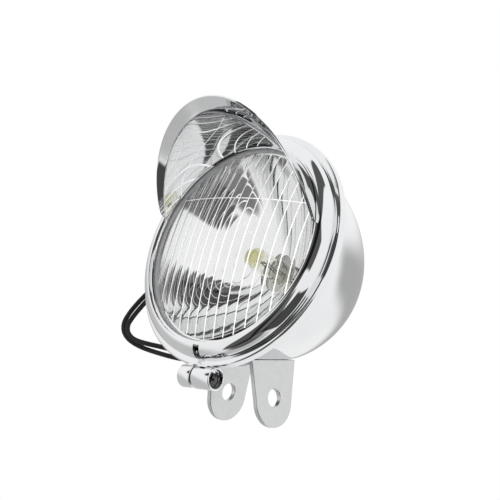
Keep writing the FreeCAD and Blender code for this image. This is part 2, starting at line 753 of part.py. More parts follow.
def wire_starts():
    """The two wires' first straight runs, side by side and square to the bush."""
    spot, out = exit_place()
    face = spot + out * (n.grommet_lip + n.seat_play)
    beside = out.cross(Vector(0, 1, 0)).normalize()
    starts = [face + beside * (side * n.wire_apart / 2) for side in (-1, 1)]
    return [(start, start + out * n.wire_lead_out) for start in starts]


def rounded_path(spots):
    """Straight runs joined by the largest tangent arcs that the runs allow, with the arcs' radii."""
    edges = []
    radii = []
    here = spots[0]
    for before, corner, after in zip(spots, spots[1:], spots[2:]):
        inward = (corner - before).normalize()
        onward = (after - corner).normalize()
        turn = inward.getAngle(onward)
        run = 0.45 * min((corner - before).Length, (after - corner).Length)
        radius = run / math.tan(turn / 2)
        start = corner - inward * run
        end = corner + onward * run
        to_middle = (onward - inward).normalize()
        depth = radius / math.cos(turn / 2) - radius
        edges.append(Part.LineSegment(here, start).toShape())
        edges.append(Part.Arc(start, corner + to_middle * depth, end).toShape())
        radii.append(radius)
        here = end
    edges.append(Part.LineSegment(here, spots[-1]).toShape())
    return Part.Wire(edges), radii


def make_wires():
    """Two black wires that loop out beside the bowl and end behind the ring."""
    for (label, route), (start, lead_out) in zip(WIRE_ROUTES.items(), wire_starts()):
        path, radii = rounded_path([start, lead_out] + [Vector(*spot) * n.skirt_radius for spot in route])
        section = Part.makeCircle(n.wire_radius, start, lead_out - start)
        tube = path.makePipe(Part.Face(Part.Wire(section)))
        lamp_solid(label, tube)
        expected = math.pi * n.wire_radius ** 2 * path.Length
        print(f"{label}: length {path.Length:.1f} mm, radii {[round(radius, 1) for radius in radii]}, "
              f"volume share {tube.Volume / expected:.4f}")


def check_document():
    """Stop before anything is written where a feature or a piece has failed."""
    doc.recompute()
    for item in doc.Objects:
        if "Invalid" in item.State or "Error" in item.State:
            raise RuntimeError(f"{item.Label} failed: {item.State}")
    for piece in pieces:
        if piece.Shape.isNull() or not piece.Shape.isValid():
            raise RuntimeError(f"{piece.Label} has no valid shape")


def write_pieces():
    os.makedirs("parts", exist_ok=True)
    for piece in pieces:
        solids = len(piece.Shape.Solids)
        print(f"{piece.Label}: solids {solids}, volume {piece.Shape.Volume:.0f} mm3")
        piece.Shape.exportStep(os.path.join("parts", f"{piece.Label}.step"))


make_trim_ring()
make_clamp()
shell = bucket_shell()
lamp_solid("bucket", shell)
make_mounting_bracket()
make_bracket_rivets()
make_visor()
make_lens()
make_lens_gasket()
make_reflector()
make_unit_clips()
make_bulb()
make_cable_grommet(shell)
make_wires()
check_document()
write_pieces()
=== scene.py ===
import bmesh
import bpy
import math
from bpy.props import FloatProperty, FloatVectorProperty, IntProperty, PointerProperty
from mathutils import Matrix, Quaternion, Vector


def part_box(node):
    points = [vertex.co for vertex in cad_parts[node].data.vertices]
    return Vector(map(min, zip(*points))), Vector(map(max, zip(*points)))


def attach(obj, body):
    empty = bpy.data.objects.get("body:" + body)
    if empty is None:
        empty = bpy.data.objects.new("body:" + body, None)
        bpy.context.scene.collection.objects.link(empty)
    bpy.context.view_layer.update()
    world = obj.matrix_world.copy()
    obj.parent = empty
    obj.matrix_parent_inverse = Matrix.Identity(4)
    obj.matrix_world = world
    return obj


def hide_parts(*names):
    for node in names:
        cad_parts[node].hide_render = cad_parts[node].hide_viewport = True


bl_info = {
    "name": "Driving Light",
    "version": (1, 0, 0),
    "blender": (4, 5, 0),
    "location": "View3D > Sidebar > Driving Light",
    "description": "Dresses a motorcycle driving light with plated sheet, fluted glass and wires",
    "category": "Object",
}

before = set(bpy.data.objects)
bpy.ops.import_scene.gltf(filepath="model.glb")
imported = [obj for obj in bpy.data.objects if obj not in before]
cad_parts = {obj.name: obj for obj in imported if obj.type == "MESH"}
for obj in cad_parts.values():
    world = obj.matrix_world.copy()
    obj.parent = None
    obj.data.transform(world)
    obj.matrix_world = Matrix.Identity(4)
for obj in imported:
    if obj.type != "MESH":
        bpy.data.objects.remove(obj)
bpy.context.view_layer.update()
BODY = "root"


def length(name, description, default):
    """A property that holds a length in metres."""
    return FloatProperty(name=name, description=description, default=default, subtype="DISTANCE",
                         unit="LENGTH", precision=5)


def number(name, description, default):
    """A property that holds a plain number."""
    return FloatProperty(name=name, description=description, default=default)


def turn(name, description, degrees):
    """A property that holds an angle, given in degrees."""
    return FloatProperty(name=name, description=description, default=math.radians(degrees), subtype="ANGLE",
                         unit="ROTATION")


def colour(name, description, default):
    """A property that holds a colour."""
    return FloatVectorProperty(name=name, description=description, default=default, subtype="COLOR", size=4,
                               min=0.0, max=1.0)


class LampSizes(bpy.types.PropertyGroup):
    """Sizes of the lamp's pieces, seen from the centre of the ring's flange plane."""
    lamp_ahead: length("Lamp ahead", "Lamp centre in front of the pivot bolt", 0.035988)
    lamp_up: length("Lamp up", "Lamp centre above the pivot bolt", 0.060506)
    sheet: length("Sheet", "Thickness of the ring's sheet", 0.0012)
    bead_ahead: length("Bead ahead", "Bead circle in front of the flange plane", 0.0043)
    bead_circle: length("Bead circle", "Radius of the bead's centre line", 0.0535)
    bead_half: length("Bead half", "Half of the chord across the bead's section", 0.0044)
    bead_rise: length("Bead rise", "Height of the bead over its chord", 0.002)
    bead_turn: turn("Bead turn", "Lean of the bead's chord", 40.0)
    skirt_radius: length("Skirt radius", "Outer radius of the ring", 0.059498)
    skirt_depth: length("Skirt depth", "Length of the skirt behind the flange", 0.0026)
    skirt_round: length("Skirt round", "Rounding between flange and skirt", 0.0009)
    split_angle: turn("Split", "Opening between the ring's ends", 4.2)
    barrel_radius: length("Barrel radius", "Radius of the clamp barrels", 0.0054)
    barrel_drop: length("Barrel drop", "Barrel axis below the skirt", 0.005)
    barrel_ahead: length("Barrel ahead", "Barrel axis in front of the flange plane", 0.0003)
    barrel_near: length("Barrel near end", "Half of the gap between the barrels", 0.0005)
    barrel_right: length("Right barrel end", "Far end of the right barrel", 0.0122)
    barrel_left: length("Left barrel end", "Far end of the left barrel", 0.0083)
    barrel_bore: length("Barrel bore", "Radius of the screw's hole", 0.0027)
    barrel_sink: length("Counterbore", "Radius of the counterbore", 0.00445)
    barrel_sink_depth: length("Counterbore depth", "Depth of the counterbore", 0.0064)
    neck_width: length("Neck width", "Thickness of the barrels' necks", 0.0064)
    barrel_edge: length("Barrel edge", "Rounding of the barrels' edges", 0.0004)
    neck_short: length("Neck short", "How much shorter the neck is than its barrel", 0.0026)
    neck_sink: length("Neck sink", "How far the necks reach into the skirt", 0.0003)
    bowl_radius: length("Bowl radius", "Radius of the bowl's mouth", 0.053498)
    bowl_depth: length("Bowl depth", "Depth of the bowl", 0.068)
    bowl_wall: length("Bowl wall", "Thickness of the bowl", 0.0012)
    rim_radius: length("Rim radius", "Radius of the bowl's rim", 0.057998)
    rim_back: length("Rim back", "Rear face of the bowl's rim", 0.00157)
    seat_reach: length("Seat reach", "Distance of the bracket seat's plane", 0.051365)
    shoulder_reach: length("Shoulder reach", "Distance of the shoulders' planes", 0.053799)
    shoulder_across: turn("Shoulder", "Slope of the shoulders beside the seat", 30.0)
    press_blend: length("Press blend", "Softness of the pressed edges", 0.0011)
    strap: length("Strap", "Thickness of the bracket", 0.0025)
    strap_width: length("Strap width", "Width of the bracket's web", 0.0295)
    web_half: length("Web half", "Half length of the web", 0.0145)
    ear_height: length("Ear height", "Bracket seat above the pivot bolt", 0.0178)
    ear_rake: turn("Ear rake", "Lean of the ears", 20.0)
    ear_splay: turn("Ear splay", "Spread of the ears", 5.5)
    ear_round: length("Ear round", "Radius of the ears' ends", 0.012)
    ear_round_drop: length("Ear round drop", "Centre of the ears' ends below the bolt", 0.002)
    ear_edge: length("Ear edge", "Rounding of the ears' edges", 0.00035)
    bolt_radius: length("Bolt hole", "Radius of the ears' holes", 0.0043)
    visor_wall: length("Visor wall", "Thickness of the hood", 0.0008)
    visor_root: length("Visor root", "Radius of the hood at the ring", 0.0495017)
    visor_flange: length("Visor flange", "Inner radius of the hood's flat flange", 0.0493517)
    visor_flare: length("Visor flare", "Growth of the hood's radius at its top", 0.0039)
    visor_reach: length("Visor reach", "Reach of the hood's top from the ring", 0.0337)
    visor_end_reach: length("Visor end reach", "Reach of the hood's ends from the ring", 0.0001)
    visor_end_angle: turn("Visor ends", "Height of the hood's ends above the middle", 13.0)
    visor_waist: number("Visor waist", "Share of the flare at half reach", 0.4)
    visor_lip: length("Visor lip", "Length of the turned lip", 0.007)
    visor_lip_end: number("Lip at the ends", "Share of the lip at the ends", 0.3)
    visor_lip_turn: turn("Visor lip turn", "Outward lean of the lip", 18.0)
    lens_radius: length("Lens radius", "Radius of the glass", 0.0512)
    lens_mouth: length("Lens mouth", "Radius of the glass dome", 0.0491017)
    lens_rim: length("Lens rim", "Thickness of the glass rim", 0.0026)
    lens_glass: length("Lens glass", "Thickness of the glass", 0.0024)
    lens_rise: length("Lens rise", "Height of the glass dome", 0.007)
    flute_count: IntProperty(name="Flutes", description="Number of upright flutes", default=16)
    flute_round: length("Flute round", "Radius of a flute", 0.018)
    # The faces of this share take the flute_ridge finish, which is a painted glow, not wear.
    flute_ridge: number("Flute ridge", "Share of a flute that is its worn ridge", 0.05)
    lens_line: length("Lens line", "Height of the level ridge above the middle", 0.0215)
    lens_line_width: length("Lens line width", "Width of the level ridge", 0.0005)
    gasket_width: length("Gasket width", "Width of the rubber ring", 0.003)
    reflector_mouth: length("Reflector mouth", "Radius of the dish", 0.0472)
    reflector_depth: length("Reflector depth", "Depth of the dish", 0.033)
    reflector_wall: length("Reflector wall", "Thickness of the dish", 0.0012)
    bulb_hole: length("Bulb hole", "Radius of the hole behind the bulb", 0.0096)
    envelope_radius: length("Bulb radius", "Radius of the bulb glass", 0.0052)
    envelope_length: length("Bulb length", "Length of the bulb glass", 0.024)
    envelope_wall: length("Bulb wall", "Thickness of the bulb glass", 0.0007)
    wire_diameter: length("Wire", "Diameter of a wire", 0.0024)


class LampColours(bpy.types.PropertyGroup):
    """Colours of the finishes."""
    chrome: colour("Chrome", "Bright plating", (0.86, 0.865, 0.875, 1.0))
    satin: colour("Satin plate", "Duller plating of the bracket", (0.66, 0.665, 0.67, 1.0))
    mirror: colour("Mirror", "Metallised dish", (0.90, 0.90, 0.90, 1.0))
    glass: colour("Glass", "Lens glass", (0.985, 0.99, 0.988, 1.0))
    # This colour also drives an emission on the ridges: a painted glow that stands in for light the glass
    # ridges catch.
    ridge: colour("Ridge", "Worn ridges between the flutes", (0.93, 0.93, 0.93, 1.0))
    bulb: colour("Bulb glass", "Glass at the bulb's foot", (0.95, 0.95, 0.90, 1.0))
    bulb_tip: colour("Bulb tip", "Glass at the bulb's tip", (0.70, 0.68, 0.36, 1.0))
    steel: colour("Steel", "Bright steel springs and rivets", (0.55, 0.55, 0.56, 1.0))
    screw: colour("Screw", "Dark zinc of the screw", (0.16, 0.16, 0.165, 1.0))
    tungsten: colour("Tungsten", "Filament wire", (0.24, 0.235, 0.23, 1.0))
    bulb_metal: colour("Bulb metal", "Bulb flange and collar", (0.62, 0.61, 0.58, 1.0))
    rubber: colour("Rubber", "Bush of the wires", (0.018, 0.018, 0.018, 1.0))
    # Near white: painted light, the gasket made pale to lift the shade it lies in under the hood.
    gasket: colour("Gasket", "Ring behind the glass", (0.88, 0.88, 0.91, 1.0))
    plastic: colour("Plastic", "Connector", (0.028, 0.028, 0.03, 1.0))
    wire: colour("Wire", "Jacket of the wires", (0.010, 0.010, 0.011, 1.0))
    floor: colour("Floor", "Studio floor", (0.90, 0.90, 0.90, 1.0))


class CameraView(bpy.types.PropertyGroup):
    """The view: angles, distance from the lamp centre, and the frame in pixels."""
    azimuth: turn("Azimuth", "Angle round the lamp", 46.1)
    elevation: turn("Elevation", "Angle above the horizon", -15.2)
    roll: turn("Roll", "Turn about the line of sight", 17.9)
    distance: length("Distance", "From the lamp centre", 0.707)
    focal_pixels: number("Focal length", "In pixels", 1500.0)
    frame_pixels: IntProperty(name="Frame", description="Width and height in pixels", default=500)
    centre_x: number("Centre X", "Pixel column of the lamp centre", 239.5)
    centre_y: number("Centre Y", "Pixel row of the lamp centre", 248.3)


# Points of the wires' routes. Those of the loop were moved to follow the photograph.
WIRE_ROUTES = {
    "wire_live": [(-0.05177, -0.01036, 0.06010), (-0.06275, -0.00695, 0.05972), (-0.0739, -0.0120, 0.0503),
                  (-0.0762, -0.0246, 0.0251), (-0.0722, -0.0256, 0.0156), (-0.0626, -0.0226, 0.0110),
                  (-0.0415, -0.0215, 0.0083), (-0.03052, -0.01748, 0.00839), (-0.02850, -0.00499, 0.01398),
                  (-0.02999, 0.00649, 0.02249), (-0.03302, 0.01399, 0.03099)],
    "wire_earth": [(-0.05168, -0.01036, 0.05730), (-0.06265, -0.00695, 0.05692), (-0.0714, -0.0125, 0.0474),
                   (-0.0725, -0.0238, 0.0242), (-0.0700, -0.0259, 0.0178), (-0.0640, -0.0261, 0.0136),
                   (-0.0561, -0.0250, 0.0123), (-0.04349, -0.02147, 0.01219), (-0.03397, -0.01451, 0.01237),
                   (-0.03249, -0.00350, 0.01749), (-0.03397, 0.00649, 0.02552), (-0.0364, 0.0113, 0.0310)],
}

# Bands that the plating alone mirrors, and bands that show through the glass too: two directions (azimuth and
# elevation in degrees), half width in degrees, softness of the edges, share of dark
PLATING_BANDS = (((42, 82), (-20, -62), 13, 0.04, 0.90), ((-38, 17), (46, 9), 12, 0.04, 0.90),
                 ((1, -9), (24, -51), 15, 0.04, 0.85))
SURROUND_BANDS = (((29, -35), (120, -33), 21, 0.04, 0.93), ((156, 13), (-110, 2), 13, 0.16, 0.54))
# Patches of the surround: direction and radius in degrees, softness of the edge, share of dark
SURROUND_PATCHES = (((5, -67), 19, 0.03, 0.82), ((-95, -25), 42, 0.18, 0.40), ((-170, -88), 24, 0.08, 0.45))
# Levels of the surround at its lowest and its highest place
SURROUND_LEVELS = (1.1834, 1.2566)
# Studio lights: name, place, width in metres, power in watts
STUDIO_LIGHTS = (("key", (-0.9, -1.1, 1.3), 0.9, 14.0), ("side", (1.4, 0.3, 0.9), 0.9, 8.0))
FLOOR_HALF = 4.0
FLOOR_DEPTH = 0.5
SENSOR_WIDTH = 36.0
VIEW_END = 50.0

# Steps of the curved pieces
BOWL_AROUND = 320
BOWL_DEEP = 160
EAR_END_STEPS = 40
BOLT_HOLE_STEPS = 56
RING_STEPS = 300
BEAD_STEPS = 36
SKIRT_STEPS = 6
BARREL_STEPS = 72
HOOD_AROUND = 180
HOOD_OUT = 30
HOOD_FLANGE_STEPS = 240
LENS_SIDE_STEPS = 12
LENS_ROWS_BELOW = 56
LENS_ROWS_ABOVE = 20
LENS_FRONT_STEPS = 28
DISH_STEPS = 200
DISH_CUTS = 70
BULB_STEPS = 64
BULB_TIP_STEPS = 16
WELD = 1e-7
LENS_WELD = 1e-6

# Places across a flute between its ridges, as shares of its width
FLUTE_PLACES = (0.14, 0.23, 0.32, 0.41, 0.5, 0.59, 0.68, 0.77, 0.86)
# The level ridge's height and half width stay under these shares of the glass's half height
LINE_LIMIT = 0.9
LINE_HALF_LIMIT = 0.02
# Shares of the bulb's length, from its tip, at which its tint begins and is full
BULB_TINT = (0.24, 0.06)

# Grain: detail of its broad and fine noise, scale and share of the fine beside the broad, span of the noise
# that the mask takes up, and height of the bump
BROAD_DETAIL = 4.0
FINE_DETAIL = 6.0
FINE_SCALE = 9.0
FINE_SHARE = 0.35
MASK_SPAN = (0.45, 0.9)
BUMP_HEIGHT = 0.0004
# Sockets of a colour mix, whose names repeat
MIX_NEAR = 6
MIX_FAR = 7
MIX_RESULT = 2


def lamp_sizes():
    return bpy.context.scene.lamp_sizes


def lamp_colours():
    return bpy.context.scene.lamp_colours


def lamp_centre():
    """Centre of the ring's flange plane, seen from the pivot bolt."""
    s = lamp_sizes()
    return Vector((0.0, -s.lamp_ahead, s.lamp_up))


def lip_back():
    """Rear face of the ring's lip, where the hood's flange rests."""
    s = lamp_sizes()
    return -s.bead_ahead - (s.bead_half - s.sheet) * math.cos(s.bead_turn)


def lens_front():
    """Front face of the glass rim."""
    return lip_back() + lamp_sizes().visor_wall


def lens_back():
    """Rear face of the glass rim."""
    return lens_front() + lamp_sizes().lens_rim


# Materials


def add_node(tree, kind, inputs, **settings):
    """A node with its settings. Its inputs are plain values, or come from other nodes' sockets."""
    node = tree.nodes.new(kind)
    for name, value in settings.items():
        setattr(node, name, value)
    for name, value in inputs.items():
        if isinstance(value, bpy.types.NodeSocket):
            tree.links.new(value, node.inputs[name])
        else:
            node.inputs[name].default_value = value
    return node


def grain_group():
    """Fine unevenness of a worked surface: a mask, a roughness between two ends and a normal."""
    group = bpy.data.node_groups.get("Surface Grain")
    if group:
        return group
    group = bpy.data.node_groups.new("Surface Grain", "ShaderNodeTree")
    for label in ("Scale", "Smooth End", "Rough End", "Bump"):
        group.interface.new_socket(name=label, in_out="INPUT", socket_type="NodeSocketFloat")
    for label, kind in (("Mask", "Float"), ("Roughness", "Float"), ("Normal", "Vector")):
        group.interface.new_socket(name=label, in_out="OUTPUT", socket_type=f"NodeSocket{kind}")
    given = group.nodes.new("NodeGroupInput").outputs
    place = group.nodes.new("ShaderNodeTexCoord").outputs["Object"]
    fine_scale = add_node(group, "ShaderNodeMath", {0: given["Scale"], 1: FINE_SCALE}, operation="MULTIPLY")
    broad = add_node(group, "ShaderNodeTexNoise",
                     {"Vector": place, "Scale": given["Scale"], "Detail": BROAD_DETAIL})
    fine = add_node(group, "ShaderNodeTexNoise",
                    {"Vector": place, "Scale": fine_scale.outputs[0], "Detail": FINE_DETAIL})
    noise = add_node(group, "ShaderNodeMath",
                     {0: fine.outputs["Fac"], 1: FINE_SHARE, 2: broad.outputs["Fac"]},
                     operation="MULTIPLY_ADD").outputs[0]
    mask = add_node(group, "ShaderNodeMapRange",
                    {"Value": noise, "From Min": MASK_SPAN[0], "From Max": MASK_SPAN[1]}).outputs[0]
    rough = add_node(group, "ShaderNodeMapRange",
                     {"Value": mask, "To Min": given["Smooth End"], "To Max": given["Rough End"]}).outputs[0]
    bump = add_node(group, "ShaderNodeBump",
                    {"Height": noise, "Strength": given["Bump"], "Distance": BUMP_HEIGHT}).outputs[0]
    add_node(group, "NodeGroupOutput", {"Mask": mask, "Roughness": rough, "Normal": bump})
    return group


def colour_mix(tree, factor, near, far):
    """A mix of two colours by a factor."""
    mix = add_node(tree, "ShaderNodeMix", {"Factor": factor, MIX_NEAR: near, MIX_FAR: far}, data_type="RGBA")
    return mix.outputs[MIX_RESULT]


def worked_material(name, near, far, smooth, rough, scale, bump, sockets):
    """A surface whose colour, roughness and normal vary with its grain. The sockets are plain values."""
    material = bpy.data.materials.new(name)
    material.use_nodes = True
    tree = material.node_tree
    shader = tree.nodes["Principled BSDF"].inputs
    texture = {"Scale": scale, "Smooth End": smooth, "Rough End": rough, "Bump": bump}
    grain = add_node(tree, "ShaderNodeGroup", texture, node_tree=grain_group()).outputs
    tree.links.new(colour_mix(tree, grain["Mask"], near, far), shader["Base Color"])
    for label in ("Roughness", "Normal"):
        tree.links.new(grain[label], shader[label])
    for label, value in sockets.items():
        shader[label].default_value = value
    return material


def finish(name):
    """One of the lamp's finishes, made when it is first asked for."""
    made = bpy.data.materials.get(name)
    if made:
        return made
    c = lamp_colours()
    metal = {"Metallic": 1.0}
    clear = {"Transmission Weight": 1.0, "IOR": 1.2}
    # Painted glow: the ridges emit light of their own, standing in for light through the glass, though they
    # are no lamp.
    painted_glow = {"Metallic": 1.0, "Emission Color": c.ridge, "Emission Strength": 0.5}
    # Colour, share of it in the grain, smooth and rough end, scale and bump of the grain, plain sockets
    finishes = {
        "bright_chrome": (c.chrome, 0.95, 0.02, 0.05, 45.0, 0.02, metal),
        "satin_plate": (c.satin, 0.97, 0.22, 0.30, 300.0, 0.01, metal),
        "dish_mirror": (c.mirror, 0.96, 0.012, 0.03, 30.0, 0.03, metal),
        "lens_glass": (c.glass, 0.99, 0.0, 0.006, 60.0, 0.0, clear),
        "flute_ridge": (c.ridge, 0.9, 0.3, 0.45, 200.0, 0.1, painted_glow),
        "spring_steel": (c.steel, 0.85, 0.22, 0.36, 150.0, 0.08, metal),
        "dark_zinc": (c.screw, 0.6, 0.25, 0.42, 300.0, 0.15, metal),
        "tungsten": (c.tungsten, 0.8, 0.4, 0.55, 400.0, 0.2, metal),
        "bulb_metal": (c.bulb_metal, 0.85, 0.28, 0.4, 160.0, 0.1, metal),
        "matt_rubber": (c.rubber, 0.6, 0.55, 0.75, 250.0, 0.25, {}),
        # The gasket's pale colour is painted light against the hood's shade.
        "grey_rubber": (c.gasket, 0.85, 0.5, 0.65, 250.0, 0.15, {}),
        "black_plastic": (c.plastic, 0.7, 0.4, 0.55, 300.0, 0.2, {}),
        "wire_jacket": (c.wire, 0.6, 0.3, 0.42, 180.0, 0.1, {}),
        "studio_floor": (c.floor, 0.985, 0.75, 0.85, 6.0, 0.0, {}),
    }
    shade, share, smooth, rough, scale, bump, sockets = finishes[name]
    dark = (shade[0] * share, shade[1] * share, shade[2] * share, 1.0)
    return worked_material(name, shade, dark, smooth, rough, scale, bump, sockets)


# Shared mesh steps


def draw_to(bm, vert, y, radius):
    """Draw an edge of a half section from a vertex to a place behind the flange plane and off the axis."""
    made = bmesh.ops.extrude_vert_indiv(bm, verts=[vert])["verts"][0]
    made.co = (0.0, y, radius)
    return made


def arc_round(bm, vert, centre, angle, steps):
    """Sweep a vertex of a half section round a centre, leaving an arc of edges."""
    swept = bmesh.ops.spin(bm, geom=[vert], cent=(0.0, *centre), axis=(1.0, 0.0, 0.0), angle=angle,
                           steps=steps, use_duplicate=False)
    return swept["geom_last"][0]


def arc_radius(half, rise):
    """Radius of an arc by half its chord and its rise."""
    return (half * half + rise * rise) / (2 * rise)


def draw_outline(bm, corners):
    """Draw a closed outline through corners."""
    ring = [bm.verts.new(corner) for corner in corners]
    for vert, follower in zip(ring, ring[1:] + ring[:1]):
        bm.edges.new((vert, follower))


def made_of(kind, geometry):
    """What an operator made, of one kind."""
    return [item for item in geometry if isinstance(item, kind)]


def spin_full(bm, steps, axis=(0.0, 1.0, 0.0)):
    """Turn the drawn half section into a closed round."""
    bmesh.ops.spin(bm, geom=bm.verts[:] + bm.edges[:], cent=(0, 0, 0), axis=axis, angle=math.tau, steps=steps,
                   use_merge=True, use_duplicate=False)
    bmesh.ops.remove_doubles(bm, verts=bm.verts, dist=WELD)
    bmesh.ops.recalc_face_normals(bm, faces=bm.faces)


def round_off(bm, edges, offset, segments):
    """Round edges off."""
    bmesh.ops.bevel(bm, geom=edges, offset=offset, offset_type="OFFSET", segments=segments, profile=0.5,
                    affect="EDGES", clamp_overlap=True, material=-1)


def round_sharp(bm, offset, segments, limit=40.0):
    """Round the edges that turn by more than a limit in degrees."""
    least = math.radians(limit)
    sharp = [edge for edge in bm.edges if len(edge.link_faces) == 2 and edge.calc_face_angle() > least]
    round_off(bm, sharp, offset, segments)


def place_piece(name, bm, materials, node, sharp=35.0, at_lamp=True):
    """Put a finished mesh in place of its solid, riding on the lamp."""
    if at_lamp:
        bmesh.ops.translate(bm, verts=bm.verts, vec=lamp_centre())
    for face in bm.faces:
        face.smooth = True
    mesh = bpy.data.meshes.new(name)
    bm.to_mesh(mesh)
    bm.free()
    mesh.set_sharp_from_angle(angle=math.radians(sharp))
    for material in materials:
        mesh.materials.append(material)
    piece = bpy.data.objects.new(name, mesh)
    bpy.context.scene.collection.objects.link(piece)
    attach(piece, BODY)
    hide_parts(node)
    return piece


def keep_solid(node, name):
    """Give a solid that keeps its mesh a better finish."""
    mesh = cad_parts[node].data
    mesh.materials.clear()
    mesh.materials.append(finish(name))


# Pieces


class LAMP_OT_wires(bpy.types.Operator):
    """Two black wires that loop out of the bowl's bush."""
    bl_idname = "lamp.wires"
    bl_label = "Wires"

    def execute(self, context):
        s = lamp_sizes()
        for node, route in WIRE_ROUTES.items():
            line = bpy.data.curves.new(f"{node}_run", "CURVE")
            line.dimensions = "3D"
            line.bevel_depth = s.wire_diameter / 2
            line.bevel_resolution = 5
            line.resolution_u = 10
            line.use_fill_caps = True
            spline = line.splines.new("NURBS")
            spline.points.add(len(route) - 1)
            for point, spot in zip(spline.points, route):
                point.co = (*spot, 1.0)
            spline.order_u = 3
            spline.use_endpoint_u = True
            line.materials.append(finish("wire_jacket"))
            wire = bpy.data.objects.new(f"{node}_run", line)
            context.scene.collection.objects.link(wire)
            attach(wire, BODY)
            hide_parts(node)
        return {"FINISHED"}


class LAMP_OT_bucket(bpy.types.Operator):
    """Pressed bowl with a flat seat, sloped shoulders and a rim flange."""
    bl_idname = "lamp.bucket"
    bl_label = "Bowl"

    def execute(self, context):
        s = lamp_sizes()
        bm = bmesh.new()
        bmesh.ops.create_uvsphere(bm, u_segments=BOWL_AROUND, v_segments=BOWL_DEEP, radius=1.0)
        along_beam = Matrix.Rotation(math.radians(90.0), 3, "X")
        bmesh.ops.rotate(bm, verts=bm.verts, cent=(0, 0, 0), matrix=along_beam)
        bmesh.ops.scale(bm, verts=bm.verts, vec=(s.bowl_radius, s.bowl_depth, s.bowl_radius))
        bmesh.ops.bisect_plane(bm, geom=bm.verts[:] + bm.edges[:] + bm.faces[:],
                               plane_co=(0.0, s.rim_back, 0.0), plane_no=(0.0, -1.0, 0.0), clear_outer=True)
        rake = Matrix.Rotation(s.ear_rake, 3, "X")
        down = rake @ Vector((0.0, 0.0, -1.0))
        along = rake @ Vector((0.0, 1.0, 0.0))
        self.press(bm, down, s.seat_reach, s.press_blend)
        for way in (-1.0, 1.0):
            lean = Matrix.Rotation(way * s.shoulder_across, 3, along)
            self.press(bm, lean @ down, s.shoulder_reach, s.press_blend)
        mouth = [edge for edge in bm.edges if edge.is_boundary]
        rim = bmesh.ops.extrude_edge_only(bm, edges=mouth)["geom"]
        for vert in made_of(bmesh.types.BMVert, rim):
            vert.co.xz = Vector((vert.co.x, vert.co.z)).normalized() * s.rim_radius
        bmesh.ops.recalc_face_normals(bm, faces=bm.faces)
        bmesh.ops.solidify(bm, geom=bm.faces[:], thickness=s.bowl_wall)
        place_piece("bowl", bm, [finish("bright_chrome")], "bucket")
        return {"FINISHED"}

    @staticmethod
    def press(bm, normal, reach, blend):
        """Flatten what stands outside a plane, with a soft edge."""
        for vert in bm.verts:
            proud = vert.co.dot(normal) - reach
            vert.co -= normal * ((proud + math.hypot(proud, blend)) / 2)


class LAMP_OT_bracket(bpy.types.Operator):
    """Strap bent to a U: a web under the bowl and two tapered ears with round ends."""
    bl_idname = "lamp.bracket"
    bl_label = "Bracket"

    def execute(self, context):
        s = lamp_sizes()
        rake = Matrix.Rotation(s.ear_rake, 3, "X")
        for node, way in (("bracket_ear_right", 1.0), ("bracket_ear_left", -1.0)):
            bm = self.ear_plate(s)
            bmesh.ops.rotate(bm, verts=bm.verts, cent=(0.0, 0.0, s.ear_height),
                             matrix=Matrix.Rotation(-s.ear_splay, 3, "Y"))
            bmesh.ops.translate(bm, verts=bm.verts, vec=(s.web_half, 0.0, 0.0))
            if way < 0:
                bmesh.ops.scale(bm, verts=bm.verts, vec=(-1.0, 1.0, 1.0))
                bmesh.ops.reverse_faces(bm, faces=bm.faces)
            bmesh.ops.rotate(bm, verts=bm.verts, cent=(0, 0, 0), matrix=rake)
            plate = node.replace("bracket_", "") + "_plate"
            ear = place_piece(plate, bm, [finish("satin_plate")], node, at_lamp=False)
            ear.modifiers.new("even_faces", "WEIGHTED_NORMAL").keep_sharp = True
        keep_solid("bracket_web", "satin_plate")
        keep_solid("bracket_rivets", "spring_steel")
        return {"FINISHED"}

    @staticmethod
    def ear_plate(s):
        """A tapered plate with a round end and a bolt hole, its outer face in the plane X = 0."""
        bm = bmesh.new()
        half = s.strap_width / 2
        first = bm.verts.new((0.0, -half, s.ear_height))
        low = draw_to(bm, first, -s.ear_round, -s.ear_round_drop)
        end = arc_round(bm, low, (0.0, -s.ear_round_drop), math.pi, EAR_END_STEPS)
        last = draw_to(bm, end, half, s.ear_height)
        bm.edges.new((last, first))
        around = bm.edges[:]
        hole = bmesh.ops.create_circle(bm, segments=BOLT_HOLE_STEPS, radius=s.bolt_radius,
                                       matrix=Matrix.Rotation(math.radians(90.0), 4, "Y"))["verts"]
        inside = list({edge for vert in hole for edge in vert.link_edges})
        bmesh.ops.triangle_fill(bm, edges=around + inside, use_beauty=True)
        holed = [face for face in bm.faces if face.calc_center_median().length < s.bolt_radius / 2]
        bmesh.ops.delete(bm, geom=holed, context="FACES_ONLY")
        bmesh.ops.recalc_face_normals(bm, faces=bm.faces)
        grown = bmesh.ops.extrude_face_region(bm, geom=bm.faces[:])["geom"]
        back = made_of(bmesh.types.BMVert, grown)
        bmesh.ops.translate(bm, verts=back, vec=(-s.strap, 0.0, 0.0))
        bmesh.ops.recalc_face_normals(bm, faces=bm.faces)
        bmesh.ops.dissolve_limit(bm, angle_limit=math.radians(1.0), verts=bm.verts, edges=bm.edges)
        round_sharp(bm, s.ear_edge, 3)
        return bm


